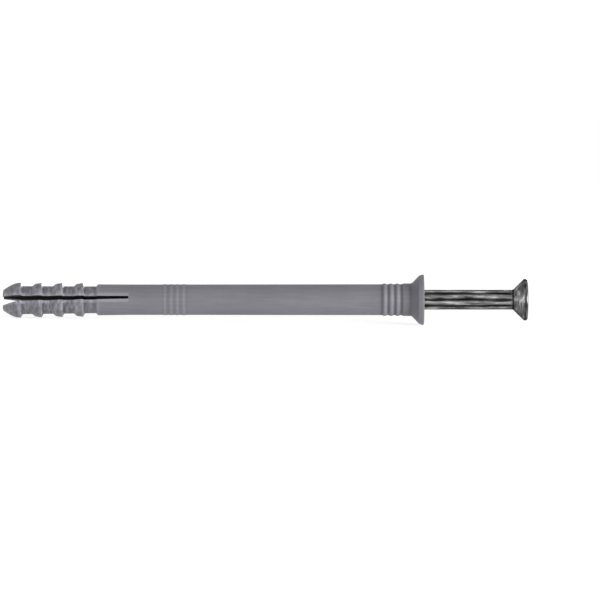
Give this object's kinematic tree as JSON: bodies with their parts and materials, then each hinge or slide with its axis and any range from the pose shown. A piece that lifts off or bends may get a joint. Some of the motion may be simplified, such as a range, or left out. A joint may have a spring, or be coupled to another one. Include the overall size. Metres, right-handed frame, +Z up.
{
  "type": "hammer fixing plug",
  "caption": "Hammer-in fixing: a long grey nylon sleeve with a split barbed nose and flared collar, and a countersunk zinc-plated drive screw started in its bore.",
  "frame": {"origin": "on the table under the middle of the fixing's bounding box, with the fixing lying on its collar and nose", "axes": "+X along the fixing from the split nose to the screw's head, +Z up from the table, -Y towards the side on which the slot shows"},
  "size_m": [0.0998, 0.0096, 0.0096],
  "materials": {
    "grey_nylon": "satin",
    "zinc_plated_steel": "dull zinc plating with darker flutes"
  },
  "bodies": {
    "root": {"plug_sleeve": "grey_nylon", "drive_screw": "zinc_plated_steel"}
  },
  "joints": []
}
